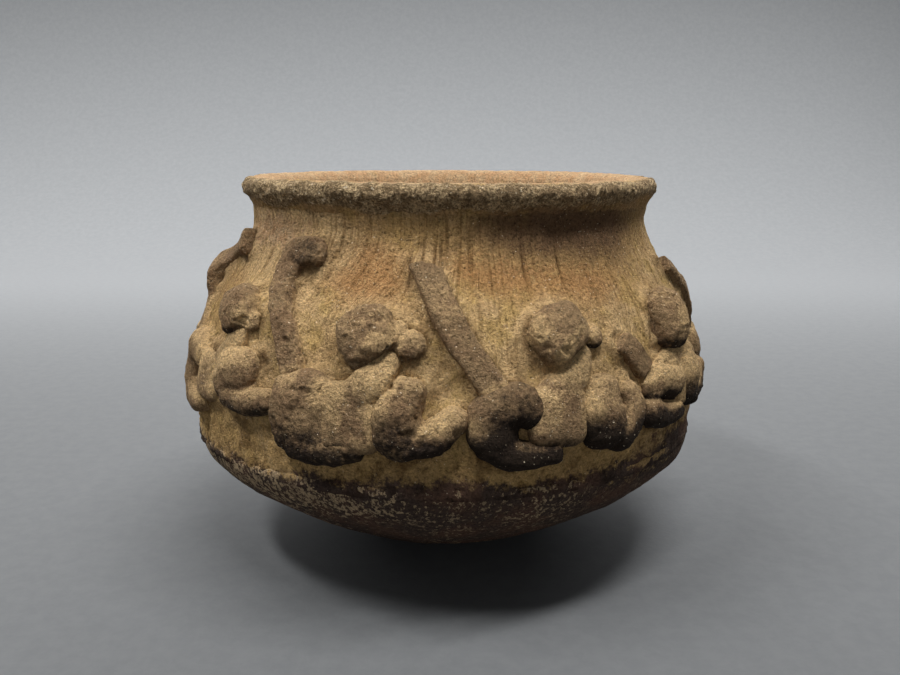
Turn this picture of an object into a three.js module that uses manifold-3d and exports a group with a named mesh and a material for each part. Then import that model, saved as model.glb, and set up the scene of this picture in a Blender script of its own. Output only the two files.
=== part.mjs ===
// A small hand-built clay bowl: a round base, a coiled shoulder and neck, a thick lip,
// and a frieze of long-tailed animals made of clay strips and pellets pressed onto the shoulder.
// Millimetres, +Z up, origin at the middle of the flat spot that the bowl stands on.
// The front of the frieze faces -Y, and azimuths are counted from there towards +X.
import * as THREE from "three";
import { mergeVertices } from "three/addons/utils/BufferGeometryUtils.js";
import Module from "manifold-3d";

const wasm = await Module();
wasm.setup();

// Driving dimensions of the pot. Each rise and flare is counted from the circle named before it.
const FOOT_RADIUS = 12;
const GIRTH_HEIGHT = 23.8;
const SHOULDER_RISE = 22.7;
const NECK_RISE = 12;
const LIP_SEAT_RISE = 2.7;
const LIP_HEIGHT = 4.6;
const NECK_RADIUS = 34.7;
const SHOULDER_FLARE = 5.9;
const GIRTH_FLARE = 4.3;
const LIP_SEAT_FLARE = 0.3;
const LIP_OVERHANG = 1.6;
const LIP_THICKNESS = 6.2;
const WALL_THICKNESS = 5;
const SCARF_RISE = 2.5;

// Driving dimensions of one animal, measured on the wall
const HEAD_WIDTH = 8.4;
const HEAD_LENGTH = 8.2;
const HEAD_RELIEF = 4.6;
const MUZZLE_WIDTH = 4.2;
const MUZZLE_RELIEF = 3.2;
const MUZZLE_REACH = 1;
const MUZZLE_DROP = 0.7;
const TORSO_WIDTH = 9.6;
const TORSO_LENGTH = 9;
const TORSO_RELIEF = 3.2;
const NAPE_WIDTH = 5.4;
const NAPE_RELIEF = 2.7;
const THIGH_WIDTH = 6.5;
const THIGH_RELIEF = 3.8;
const FOOT_WIDTH = 4.8;
const FOOT_RELIEF = 3.4;
const UPPER_ARM_WIDTH = 6.8;
const UPPER_ARM_RELIEF = 4;
const FOREARM_WIDTH = 5;
const FOREARM_RELIEF = 3.4;
const TAIL_WIDTH = 4.4;
const TAIL_RELIEF = 2;

// Clearances: where two lumps of clay meet, and where a lump lies on the wall
const JOINT_GAP = 0.3;
const SEAT_GAP = 0.3;

// Facets
const TURN_FACETS = 40;
const CURVE_STEPS = 5;
const LIP_STEPS = 6;
const SECTION_STEPS = 4;
const CAP_ANGLE = 0.9;
const CAP_REACH = 0.85;
const DOME_FACETS = 9;
const DOME_RINGS = [1, 0.84, 0.5];
const CUT_DEPTH = 1;

// Finishes of the fired clay
const clay = (color) => new THREE.MeshStandardMaterial({ color, roughness: 0.92, metalness: 0 });
const SOOTED_CLAY = clay(0x4b3f35);
const BUFF_CLAY = clay(0x9c8058);
const CRUSTED_CLAY = clay(0x574c3f);
const GREY_CLAY = clay(0x75644f);

const vec = (x, y) => new THREE.Vector2(x, y);
const between = (a, b, share) => a + (b - a) * share;

// The pot's outer face, as curves between named circles
const foot = vec(FOOT_RADIUS, 0);
const neck = vec(NECK_RADIUS, GIRTH_HEIGHT + SHOULDER_RISE + NECK_RISE);
const shoulder = vec(NECK_RADIUS + SHOULDER_FLARE, GIRTH_HEIGHT + SHOULDER_RISE);
const girth = vec(shoulder.x + GIRTH_FLARE, GIRTH_HEIGHT);
const lipSeat = vec(NECK_RADIUS + LIP_SEAT_FLARE, neck.y + LIP_SEAT_RISE);

// A curve from one circle to the next, with two handles given as shares of the run.
function flank(from, to, handleOut, handleIn) {
  const handle = ([across, up]) => vec(between(from.x, to.x, across), between(from.y, to.y, up));
  const curve = new THREE.CubicBezierCurve(from, handle(handleOut), handle(handleIn), to);
  return curve.getPoints(CURVE_STEPS);
}

const baseOutline = flank(foot, girth, [0.1, 0.04], [1, 0.61]);
const wallOutline = [
  ...flank(girth, shoulder, [0.04, 0.37], [0.43, 0.74]),
  ...flank(shoulder, neck, [0.41, 0.36], [0.97, 0.64]).slice(1),
  lipSeat,
];

// Unit vector along an outline at one of its points.
function along(outline, i) {
  const before = outline[Math.max(i - 1, 0)];
  const after = outline[Math.min(i + 1, outline.length - 1)];
  return after.clone().sub(before).normalize();
}

// The inner face lies one wall thickness inside the outer face, square to it.
function inset(outline) {
  return outline.map((point, i) => {
    const run = along(outline, i);
    return vec(point.x - run.y * WALL_THICKNESS, point.y + run.x * WALL_THICKNESS);
  });
}

// A closed profile in radius and height, turned about the pot's axis.
function turned(profile) {
  return new THREE.LatheGeometry(profile, TURN_FACETS).rotateX(Math.PI / 2);
}

// The base and the wall meet on a slanted scarf, lower on the outside.
const scarf = vec(girth.x - WALL_THICKNESS, girth.y + SCARF_RISE);

function baseBowl() {
  const inner = inset(baseOutline).slice(0, -1).reverse();
  return turned([vec(0, 0), ...baseOutline, scarf, ...inner, vec(0, WALL_THICKNESS)]);
}

function shoulderWall() {
  const lift = vec(0, JOINT_GAP);
  const outerFoot = girth.clone().add(lift);
  const innerFoot = scarf.clone().add(lift);
  const inner = inset(wallOutline.slice(0, -1))
    .filter((point) => point.y > innerFoot.y + WALL_THICKNESS / 4)
    .reverse();
  const innerSeat = vec(lipSeat.x - WALL_THICKNESS, lipSeat.y);
  return turned([outerFoot, ...wallOutline.slice(1), innerSeat, ...inner, innerFoot, outerFoot]);
}

// The lip is a thick coil bedded on the neck. It overhangs the neck and is rounded on top.
function rimCoil() {
  const seat = lipSeat.y + JOINT_GAP;
  const top = lipSeat.y + LIP_HEIGHT;
  const fullest = between(seat, top, 0.45);
  const middle = lipSeat.x + LIP_OVERHANG - LIP_THICKNESS / 2;
  const roll = new THREE.EllipseCurve(middle, fullest, LIP_THICKNESS / 2, top - fullest, 0, Math.PI);
  const outerSeat = vec(lipSeat.x, seat);
  const innerSeat = vec(lipSeat.x - WALL_THICKNESS, seat);
  return turned([outerSeat, ...roll.getPoints(LIP_STEPS), innerSeat, outerSeat]);
}

// A place on the wall is given by x, the way round at the local radius, and s, the way up
// the outer face from the girth. A lift stands square off the face there.
const climbs = wallOutline.reduce((sums, point, i) => {
  const step = i === 0 ? 0 : point.distanceTo(wallOutline[i - 1]);
  return [...sums, (sums[i - 1] ?? 0) + step];
}, []);

function onWall(x, s, lift) {
  const next = Math.max(1, climbs.findIndex((climb) => climb > s));
  const share = (s - climbs[next - 1]) / (climbs[next] - climbs[next - 1]);
  const place = wallOutline[next - 1].clone().lerp(wallOutline[next], share);
  const run = along(wallOutline, next - 1).lerp(along(wallOutline, next), share).normalize();
  const azimuth = x / place.x;
  const radius = place.x + run.y * lift;
  const height = place.y - run.x * lift;
  return new THREE.Vector3(radius * Math.sin(azimuth), -radius * Math.cos(azimuth), height);
}

// Rings of points, all alike in number, skinned into one closed body with a point at each end.
function skinned(rings, firstTip, lastTip) {
  const count = rings[0].length;
  const points = [...rings.flat(), firstTip, lastTip];
  const first = points.length - 2;
  const last = points.length - 1;
  const faces = [];
  const offset = (ring, k) => ring * count + (k % count);
  for (let k = 0; k < count; k += 1) {
    faces.push(first, offset(0, k + 1), offset(0, k));
    for (let ring = 0; ring + 1 < rings.length; ring += 1) {
      faces.push(offset(ring, k), offset(ring, k + 1), offset(ring + 1, k + 1));
      faces.push(offset(ring, k), offset(ring + 1, k + 1), offset(ring + 1, k));
    }
    faces.push(last, offset(rings.length - 1, k), offset(rings.length - 1, k + 1));
  }
  return new THREE.BufferGeometry().setFromPoints(points).setIndex(faces);
}

// A value that changes evenly from one spine point to the next.
function valueAt(values, share) {
  const place = share * (values.length - 1);
  const index = Math.min(Math.floor(place), values.length - 2);
  return between(values[index], values[index + 1], place - index);
}

// A hand-rolled strip laid along a spine on the wall: domed outside, flat against the wall, round at
// both ends. Its widths and reliefs are given at the spine's points. A grown copy is the room that the
// strip and its joint take: it is larger all round and reaches into the wall.
function strip({ spine, widths, reliefs, steps, dome = 0.8 }, grow = 0) {
  const curve = new THREE.CatmullRomCurve3(
    spine.map(([x, s]) => new THREE.Vector3(x, s, 0)), false, "catmullrom",
  );
  const bed = grow > 0 ? -CUT_DEPTH : SEAT_GAP;
  const station = (share, reach, scale) => {
    const at = curve.getPoint(share);
    const way = curve.getTangent(share);
    const halfWidth = valueAt(widths, share) / 2 + grow;
    const relief = (valueAt(reliefs, share) + grow) * scale;
    const middle = at.addScaledVector(way, reach * halfWidth);
    const place = (across, lift) =>
      onWall(middle.x - way.y * across * scale, middle.y + way.x * across * scale, lift);
    const ring = [];
    for (let k = 0; k <= SECTION_STEPS; k += 1) {
      const angle = (Math.PI * k) / SECTION_STEPS;
      const cosine = Math.cos(angle);
      const across = halfWidth * Math.sign(cosine) * Math.abs(cosine) ** dome;
      ring.push(place(across, SEAT_GAP + relief * Math.abs(Math.sin(angle)) ** dome));
    }
    const floor = grow > 0 ? [-halfWidth, 0, halfWidth] : [0];
    ring.push(...floor.map((across) => place(across, bed)));
    return { ring, tip: place(0, between(bed, SEAT_GAP + relief, 0.5)) };
  };
  const rings = [station(0, -CAP_REACH * Math.sin(CAP_ANGLE), Math.cos(CAP_ANGLE)).ring];
  for (let i = 0; i <= steps; i += 1) rings.push(station(i / steps, 0, 1).ring);
  rings.push(station(1, CAP_REACH * Math.sin(CAP_ANGLE), Math.cos(CAP_ANGLE)).ring);
  const tip = (share, reach) => station(share, reach, Math.cos(CAP_ANGLE) / 2).tip;
  return skinned(rings, tip(0, -CAP_REACH), tip(1, CAP_REACH));
}

// A pellet pressed onto the wall: an oval dome with steep sides.
function pellet({ centre, width, length, relief, turn = 0, dome = 2.6 }, grow = 0) {
  const place = (angle, share, lift) => {
    const across = (width / 2 + grow) * share * Math.cos(angle);
    const up = (length / 2 + grow) * share * Math.sin(angle);
    const x = centre[0] + across * Math.cos(turn) - up * Math.sin(turn);
    const s = centre[1] + across * Math.sin(turn) + up * Math.cos(turn);
    return onWall(x, s, lift);
  };
  const ringAt = (share, lift) => {
    const ring = [];
    for (let k = 0; k < DOME_FACETS; k += 1) ring.push(place((2 * Math.PI * k) / DOME_FACETS, share, lift));
    return ring;
  };
  const height = (share) => SEAT_GAP + (relief + grow) * (1 - share ** dome) ** (1 / dome);
  const bed = grow > 0 ? -CUT_DEPTH : SEAT_GAP;
  const rings = DOME_RINGS.map((share) => ringAt(share, height(share)));
  if (grow > 0) rings.unshift(ringAt(1, bed));
  return skinned(rings, place(0, 0, bed), place(0, 0, height(0)));
}

// Closed surface to solid, and back
function solidOf(geometry) {
  geometry.deleteAttribute("normal");
  geometry.deleteAttribute("uv");
  const merged = mergeVertices(geometry);
  const vertProperties = merged.getAttribute("position").array;
  const triVerts = new Uint32Array(merged.getIndex().array);
  return new wasm.Manifold(new wasm.Mesh({ numProp: 3, vertProperties, triVerts }));
}

function geometryOf(solid) {
  const mesh = solid.getMesh();
  const geometry = new THREE.BufferGeometry();
  geometry.setAttribute("position", new THREE.BufferAttribute(mesh.vertProperties, 3));
  geometry.setIndex(new THREE.BufferAttribute(mesh.triVerts, 1));
  geometry.computeVertexNormals();
  return geometry;
}

// How each animal is put together. Points are x and s on the wall, with x counted from the head.
const TAILS = {
  hooked: [[-10.9, 15.4], [-13.2, 21], [-15, 25.2], [-15.3, 29.2], [-13.8, 32.2], [-10.8, 32.8]],
  wide: [[-11.2, 14], [-13.6, 19.4], [-13.4, 24.2], [-10.4, 28.2], [-6, 30.8], [-2, 31.2]],
  straight: [[-9.4, 14.8], [-12.8, 20.2], [-15.1, 25.4], [-16, 29.2]],
  slanted: [[-9.6, 14.4], [-14.8, 20], [-19.4, 25], [-22.4, 28]],
  short: [[-9.6, 13], [-12, 15.4], [-14, 17]],
};
const FORELEGS = {
  reaching: { arm: [[6.2, 13.9], [5.2, 11], [5.3, 8]], hand: [[6.4, 6.9], [9.6, 7.8], [12.6, 10.1]] },
  tucked: { arm: [[6.8, 13], [6.2, 10.2], [6.6, 7.2]], hand: [[8.8, 6.1], [11.1, 7.1], [11.8, 10.4]] },
  curled: { arm: [[6.4, 13.4], [3.4, 12.2], [1.4, 10]], hand: [[3.4, 8], [7.4, 8], [11.2, 8.7]] },
};
const TORSO = [-2.2, 9.6];
const NAPE = [[-1.4, 12.4], [1.8, 15], [2.4, 17.8]];
const THIGH = [[-4.2, 11.6], [-7.4, 12.4], [-10, 10.8], [-10.6, 7.6]];
const HIND_FOOT = [[-10.2, 6.8], [-8.2, 5], [-5.2, 4.3], [-2.6, 4.6]];
const HEAD = [0.2, 20.8];
const HEAD_TURN = 0.5;

// The lumps of one animal, in the order that they are laid. Each is one or more forms. A stout animal
// has more bulk, and a squeeze moves the hips nearer to the head, or away from it where it is negative.
// An animal may have its own hips, torso, head and tail instead of the common ones.
function animal({
  tail, foreleg, rise, squeeze, bulk,
  thigh = THIGH, hindFoot = HIND_FOOT, torso = TORSO, head = HEAD, tailRelief = TAIL_RELIEF,
}) {
  const moved = (points, shift) => points.map(([x, s]) => [x + shift, s + rise]);
  const stout = (sizes) => sizes.map((size) => size * bulk);
  const laid = (points, widths, reliefs, steps, dome = 0.8) =>
    [strip, { spine: points, widths: stout(widths), reliefs: stout(reliefs), steps, dome }];
  const pressed = ([centre], [width, length, relief], turn = 0) =>
    [pellet, { centre, width: width * bulk, length: length * bulk, relief: relief * bulk, turn }];
  // One size at the first point of a spine, and another at the rest
  const graded = (points, first, rest) => points.map((_, i) => (i === 0 ? first : rest));
  const { arm, hand } = FORELEGS[foreleg];
  const tailSpine = moved(TAILS[tail], squeeze);
  const muzzle = [head[0] + (HEAD_WIDTH / 2 + MUZZLE_REACH) * bulk, head[1] - MUZZLE_DROP];
  return {
    hind_leg: [
      laid(
        moved(thigh, squeeze),
        graded(thigh, FOOT_WIDTH, THIGH_WIDTH),
        graded(thigh, FOOT_RELIEF, THIGH_RELIEF),
        4,
      ),
      laid(
        moved(hindFoot, squeeze),
        graded(hindFoot, THIGH_WIDTH, FOOT_WIDTH),
        graded(hindFoot, THIGH_RELIEF, FOOT_RELIEF),
        3,
      ),
    ],
    foreleg: [
      laid(
        moved(arm, 0),
        graded(arm, FOREARM_WIDTH, UPPER_ARM_WIDTH),
        graded(arm, FOREARM_RELIEF, UPPER_ARM_RELIEF),
        3,
      ),
      laid(
        moved(hand, 0),
        graded(hand, UPPER_ARM_WIDTH, FOREARM_WIDTH),
        graded(hand, UPPER_ARM_RELIEF, FOREARM_RELIEF),
        3,
      ),
    ],
    head: [
      pressed(moved([head], 0), [HEAD_WIDTH, HEAD_LENGTH, HEAD_RELIEF], HEAD_TURN),
      pressed(moved([muzzle], 0), [MUZZLE_WIDTH, MUZZLE_WIDTH, MUZZLE_RELIEF]),
    ],
    body: [
      pressed(moved([torso], squeeze / 2), [TORSO_WIDTH, TORSO_LENGTH, TORSO_RELIEF]),
      laid(moved(NAPE, 0), NAPE.map(() => NAPE_WIDTH), NAPE.map(() => NAPE_RELIEF), 3),
    ],
    tail: [
      laid(tailSpine, tailSpine.map(() => TAIL_WIDTH), tailSpine.map(() => tailRelief), 6, 0.5),
    ],
  };
}

const joined = (forms, grow) =>
  forms.map(([form, shape]) => solidOf(form(shape, grow))).reduce((whole, lump) => whole.add(lump));

// A cut can leave crumbs. Only the largest body is kept.
function largest(solid) {
  return solid.decompose().reduce((best, body) => (body.volume() > best.volume() ? body : best));
}

// The frieze, by the azimuth of each head in degrees
const FRIEZE = [
  { azimuth: -95, tail: "hooked", foreleg: "reaching", rise: 0.4, squeeze: 0, bulk: 0.95, tailRelief: 2.6 },
  {
    azimuth: -50, tail: "wide", foreleg: "curled", rise: 1.6, squeeze: -5, bulk: 0.92,
    head: [1, 20.6], tailRelief: 3,
  },
  {
    azimuth: -15, tail: "hooked", foreleg: "reaching", rise: 0, squeeze: 0, bulk: 1,
    thigh: [[-5.4, 12.7], [-8, 12.9], [-10.2, 11.4], [-10.4, 8.4]],
    hindFoot: [[-9, 6.1], [-6.4, 5.2], [-3.2, 5.3], [-0.8, 6]],
    torso: [-0.8, 9.9],
  },
  {
    azimuth: 20.5, tail: "straight", foreleg: "tucked", rise: 0, squeeze: 0, bulk: 1,
    thigh: [[-4.2, 11.2], [-7, 11.8], [-9.4, 10.6], [-9.9, 7.8]],
    hindFoot: [[-9.7, 6.8], [-7.6, 5.3], [-4.6, 4.7], [-1.4, 4.8]],
    torso: [-0.6, 10],
  },
  {
    azimuth: 49, tail: "short", foreleg: "reaching", rise: 1, squeeze: 3.4, bulk: 0.84,
    thigh: [[-8.6, 10.4], [-6.2, 11], [-3.2, 10.2]],
    hindFoot: [[-9.6, 6], [-6.6, 5], [-3.4, 4.8]],
    torso: [-0.2, 9.6],
    head: [1.2, 20.6],
  },
  { azimuth: 101, tail: "slanted", foreleg: "tucked", rise: 0.4, squeeze: 0, bulk: 0.9, tailRelief: 3 },
  { azimuth: 142, tail: "hooked", foreleg: "reaching", rise: 0.8, squeeze: 0, bulk: 1 },
  { azimuth: 183, tail: "straight", foreleg: "curled", rise: 0.4, squeeze: 0, bulk: 0.95 },
  { azimuth: 224, tail: "hooked", foreleg: "tucked", rise: 0, squeeze: 0, bulk: 1 },
];

// The animals are laid one after another against the way that they walk, so each forepaw is trimmed
// to the haunch in front of it. Each lump is trimmed to the room that the lumps before it take.
function frieze() {
  const laid = [];
  const groups = FRIEZE.map((design, place) => {
    const group = new THREE.Group();
    group.name = `animal_${place + 1}`;
    group.rotation.z = THREE.MathUtils.degToRad(design.azimuth);
    return group;
  });
  [...FRIEZE.keys()].reverse().forEach((place) => {
    const { azimuth } = FRIEZE[place];
    Object.entries(animal(FRIEZE[place])).forEach(([piece, forms]) => {
      const room = laid.map((other) => other.solid.rotate([0, 0, other.azimuth - azimuth]));
      const trimmed = room.reduce((lump, taken) => lump.subtract(taken), joined(forms));
      const mesh = new THREE.Mesh(geometryOf(largest(trimmed)), GREY_CLAY);
      mesh.name = `${groups[place].name}_${piece}`;
      groups[place].add(mesh);
      laid.push({ azimuth, solid: joined(forms, JOINT_GAP) });
    });
  });
  return groups;
}

function named(name, geometry, material) {
  const mesh = new THREE.Mesh(geometry, material);
  mesh.name = name;
  return mesh;
}

const bowl = new THREE.Group();
bowl.add(
  named("base_bowl", baseBowl(), SOOTED_CLAY),
  named("shoulder_wall", shoulderWall(), BUFF_CLAY),
  named("rim_coil", rimCoil(), CRUSTED_CLAY),
  ...frieze(),
);

export default bowl;
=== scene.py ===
# %% [markdown]
# # A hand-built clay bowl with a frieze of animals
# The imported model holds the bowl's solids: a base, a wall, a lip and nine animals of five pieces each.
# This lesson dresses them. Every solid is replaced by a finer surface worked out with numpy, in the same
# place, with the marks of scraping, pressing, firing and long burial. Lengths are in millimetres until a
# surface becomes a mesh, because Blender works in metres.

# %% Load the frame
import math
import bpy
import numpy as np
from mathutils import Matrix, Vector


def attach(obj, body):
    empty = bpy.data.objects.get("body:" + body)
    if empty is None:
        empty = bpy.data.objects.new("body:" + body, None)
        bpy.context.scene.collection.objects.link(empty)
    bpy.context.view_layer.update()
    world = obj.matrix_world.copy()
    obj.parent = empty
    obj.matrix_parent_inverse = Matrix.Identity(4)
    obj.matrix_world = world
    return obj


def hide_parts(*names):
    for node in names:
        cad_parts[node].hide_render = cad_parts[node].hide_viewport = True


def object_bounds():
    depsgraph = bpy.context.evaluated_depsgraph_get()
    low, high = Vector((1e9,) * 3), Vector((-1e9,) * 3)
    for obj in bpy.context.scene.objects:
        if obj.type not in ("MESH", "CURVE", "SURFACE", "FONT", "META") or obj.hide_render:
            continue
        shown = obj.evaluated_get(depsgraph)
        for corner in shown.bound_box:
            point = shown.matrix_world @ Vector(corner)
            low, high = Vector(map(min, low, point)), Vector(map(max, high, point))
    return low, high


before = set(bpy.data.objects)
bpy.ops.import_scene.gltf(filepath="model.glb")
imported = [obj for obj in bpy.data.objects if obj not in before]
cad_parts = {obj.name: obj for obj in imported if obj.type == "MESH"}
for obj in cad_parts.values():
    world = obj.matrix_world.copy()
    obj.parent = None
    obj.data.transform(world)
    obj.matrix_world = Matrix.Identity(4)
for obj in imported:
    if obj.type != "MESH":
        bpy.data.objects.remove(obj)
cad_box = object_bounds()
MM = 0.001
cad_size = [round((high - low) / MM, 1) for low, high in zip(*cad_box)]
print("frame:", len(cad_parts), "nodes in a box of", cad_size, "mm")

# %% [markdown]
# ## Camera
# The bowl was photographed from just above the height of its rim and close by, so its near side looms and
# the far lip shows as a thin bright line. The place, the pitch and the lens come from the lip's ellipse
# and from the spread of the girth.

# %% Camera
EYE = (0.6, -150.1, 68.83)
PITCH_DOWN = math.radians(12.52)
LENS, SENSOR_WIDTH, NEAREST_SEEN = 32.72, 36, 0.01


def new_object(name, data):
    """Object in the scene, at the origin until it is moved."""
    made = bpy.data.objects.new(name, data)
    bpy.context.scene.collection.objects.link(made)
    return made


camera_data = bpy.data.cameras.new("photo_camera")
camera_data.lens, camera_data.sensor_width, camera_data.clip_start = LENS, SENSOR_WIDTH, NEAREST_SEEN
camera = new_object("photo_camera", camera_data)
camera.location = [value * MM for value in EYE]
camera.rotation_euler = (math.pi / 2 - PITCH_DOWN, 0, 0)
bpy.context.scene.camera = camera
print("camera:", EYE, "mm, pitched down", round(math.degrees(PITCH_DOWN), 1), "degrees")

# %% [markdown]
# ## Noise
# Fired clay is rough at every scale. A smooth random field on a lattice, added up in several sizes, gives
# lumps, grit and wavering edges. It is written here, in numpy, so that whole arrays of points are worked
# out at once and every run gives the same bowl.

# %% Noise
CELL_PRIMES, SEED_PRIME = (73856093, 19349663, 83492791), 9176741
FIRST_MIX, SECOND_MIX, WORD = 2246822519, 3266489917, 0xFFFFFFFF
SEED_STEP = 31


def lattice_noise(points, size, seed):
    """Smooth random field from -1 to 1. Space is cut into cells of the given size. Each cell corner gets a
    random number by multiplying and shifting its whole-number place, and a point takes the blend of its
    eight corners by smooth steps."""
    place = np.asarray(points, float) / size
    cell = np.floor(place).astype(np.int64)
    step = place - cell
    step = step * step * (3 - 2 * step)
    total = 0.0
    for corner in np.ndindex(2, 2, 2):
        key = ((cell + corner) * CELL_PRIMES).sum(-1) + seed * SEED_PRIME
        key = ((key ^ (key >> 15)) * FIRST_MIX) & WORD
        key = ((key ^ (key >> 13)) * SECOND_MIX) & WORD
        value = (key ^ (key >> 16)) / (WORD / 2) - 1
        total = total + value * np.where(np.array(corner) == 1, step, 1 - step).prod(-1)
    return total


def noises(points, *layers):
    """Sum of lattice noises, each given by its strength, size and seed."""
    return sum(strength * lattice_noise(points, size, seed) for strength, size, seed in layers)


def rough(points, size, seed):
    """Lattice noise of a size, and half as much of another of half the size."""
    return noises(points, (1, size, seed), (0.5, size / 2, seed + SEED_STEP))


def smooth_step(low, high, values):
    """0 below low, 1 above high, and the curve 3t squared minus 2t cubed between them."""
    t = np.clip((np.asarray(values, float) - low) / (high - low), 0, 1)
    return t * t * (3 - 2 * t)


def bell(values, middle, width):
    """Bell curve: e to the power of minus the square of the way from the middle, counted in widths."""
    return np.exp(-((values - middle) / width)**2)


print("noise at three points:", lattice_noise([[0.2, 0, 0], [3, 1, 2], [9, 9, 9]], 2.0, 1).round(3))

# %% [markdown]
# ## Outline of the pot
# The pot is a turned form, so one outline of radius and height gives its wall. The same named circles as
# in the solids carry it: the foot, the girth, the shoulder, the neck and the seat of the lip, with a curve
# between each two. Hand-built clay is never quite round, so one function turns the outline and adds what is
# uneven. The animals are laid out flat, across and up the wall, and another function wraps them on.

# %% Outline
FOOT, GIRTH, SHOULDER, NECK, LIP_SEAT = (12, 0), (44.9, 23.8), (40.6, 46.5), (34.7, 58.5), (35, 61.2)
WALL_THICKNESS = 5
LIP_TOP = 65.8


def flank(start, end, handle_out, handle_in, steps=60):
    """Cubic Bezier curve from one circle to the next. The handles are shares of the run between them."""
    start, end = np.array(start, float), np.array(end, float)
    t = np.linspace(0, 1, steps)[:, None]
    near, far = start + (end - start) * handle_out, start + (end - start) * handle_in
    return (1 - t)**3 * start + 3 * (1 - t)**2 * t * near + 3 * (1 - t) * t**2 * far + t**3 * end


def lengths_along(outline):
    """Distance travelled along an outline at each of its points."""
    return np.concatenate([[0], np.cumsum(np.hypot(*np.diff(outline, axis=0).T))])


base_outline = flank(FOOT, GIRTH, (0.1, 0.04), (1, 0.61))
wall_outline = np.concatenate([
    flank(GIRTH, SHOULDER, (0.04, 0.37), (0.43, 0.74)),
    flank(SHOULDER, NECK, (0.41, 0.36), (0.97, 0.64))[1:],
    np.linspace(NECK, LIP_SEAT, 12)[1:],
])
wall_climb = lengths_along(wall_outline)
WALL_TOP = wall_climb[-1]
print("wall: climbs", round(WALL_TOP, 1), "mm from the girth to the lip's seat")

# %% Places on the pot
LEAN = 0.6


def wall_at(climb):
    """Radius, height and outward normal of the wall at a climb, the way up its outer face from the girth."""
    radius = np.interp(climb, wall_climb, wall_outline[:, 0])
    height = np.interp(climb, wall_climb, wall_outline[:, 1])
    run = np.gradient(wall_outline, wall_climb, axis=0)
    out = np.interp(climb, wall_climb, run[:, 1])
    up = -np.interp(climb, wall_climb, run[:, 0])
    size = np.hypot(out, up)
    return radius, height + np.minimum(climb, 0), out / size, up / size


def turned_points(reach, angles, height):
    """Points at a reach from the axis, an azimuth and a height. The neck leans a little to +X. On both sides
    the base is a little full, and on the right the seam above it is a little flat, by bell curves of the
    height."""
    height = np.asarray(height, float)
    lean = LEAN * smooth_step(30, 60, height)
    right, left = np.clip(np.sin(angles), 0, 1)**2, np.clip(-np.sin(angles), 0, 1)**2
    reach = reach + left * bell(height, 17, 4.6)
    reach = reach + right * (0.9 * bell(height, 15.5, 4.5) - 0.9 * bell(height, 23.5, 3.4))
    return np.stack(np.broadcast_arrays(reach * np.sin(angles) + lean, -reach * np.cos(angles), height), -1)


def on_wall(across, climb, lift, azimuth=0.0):
    """Point that lies a way across and a climb up the wall's outer face, lifted square off it. The way across
    is an arc at the local radius, counted from the given azimuth in radians. Azimuth 0 faces -Y."""
    radius, height, out, up = wall_at(climb)
    return turned_points(radius + out * lift, azimuth + across / radius, height + up * lift)


def turn_from(angles, azimuth):
    """Turn from an azimuth in degrees to angles in radians, the short way round."""
    return np.angle(np.exp(1j * (angles - math.radians(azimuth))))


def off_wall(points, azimuth):
    """Way across from an azimuth in degrees, climb and lift of points near the wall. The climb is guessed by
    height, then the gap to the wall is split along the normal and along the face, three times over."""
    radius = np.hypot(points[:, 0], points[:, 1])
    climb = np.interp(points[:, 2], wall_outline[:, 1], wall_climb)
    for _ in range(3):
        at, height, out, up = wall_at(climb)
        lift = (radius - at) * out + (points[:, 2] - height) * up
        climb = np.clip(climb - (radius - at) * up + (points[:, 2] - height) * out, 0, WALL_TOP)
    across = turn_from(np.arctan2(points[:, 0], -points[:, 1]), azimuth) * wall_at(climb)[0]
    return across, climb, lift


print("a point on the front of the shoulder:", on_wall(0, 20, 0).round(1), "mm")

# %% [markdown]
# ## Meshes
# A turned or swept surface is a grid of points whose columns run round it, so its faces follow from the
# grid's shape alone. Colours vary over the clay by what happened at each spot, so a piece also carries
# named numbers on its points, which its material reads.


# %% Mesh helpers
def grid_faces(rows, columns, closed_rows=False):
    """Quads of a grid whose columns close on themselves, and whose rows do too where asked."""
    index = np.arange(rows * columns).reshape(rows, columns)
    index = np.concatenate([index, index[:1]]) if closed_rows else index
    near, far = index[:-1], index[1:]
    quads = [near, np.roll(near, -1, 1), np.roll(far, -1, 1), far]
    return np.stack(quads, -1).reshape(-1, 4)


def fan_faces(ring, tip, outward):
    """Triangles from each edge of a ring to one point."""
    edges = [ring, np.roll(ring, -1)] if outward else [np.roll(ring, -1), ring]
    return np.stack([*edges, np.full_like(ring, tip)], -1)


def skin(grid):
    """Points, quads and end triangles of a grid of rings, with a point in the middle of each end ring."""
    rows, columns = grid.shape[:2]
    points = np.concatenate([grid.reshape(-1, 3), grid[:1].mean(1), grid[-1:].mean(1)])
    ring = np.arange(columns)
    first = fan_faces(ring, rows * columns, False)
    last = fan_faces(ring + (rows - 1) * columns, rows * columns + 1, True)
    return points, grid_faces(rows, columns), np.concatenate([first, last])


def make_mesh(name, points, quads, triangles=()):
    """Mesh in metres from points in millimetres, with quads first and then triangles."""
    triangles = np.asarray(triangles, int).reshape(-1, 3)
    mesh = bpy.data.meshes.new(name)
    mesh.vertices.add(len(points))
    mesh.vertices.foreach_set("co", (np.asarray(points) * MM).astype(np.float32).ravel())
    corners = np.concatenate([quads.ravel(), triangles.ravel()])
    sizes = np.repeat([4, 3], [len(quads), len(triangles)])
    mesh.loops.add(len(corners))
    mesh.loops.foreach_set("vertex_index", corners.astype(np.int32))
    mesh.polygons.add(len(sizes))
    mesh.polygons.foreach_set("loop_start", np.concatenate([[0], np.cumsum(sizes)[:-1]]).astype(np.int32))
    mesh.polygons.foreach_set("use_smooth", np.ones(len(sizes), bool))
    mesh.update(calc_edges=True)
    return mesh


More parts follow.
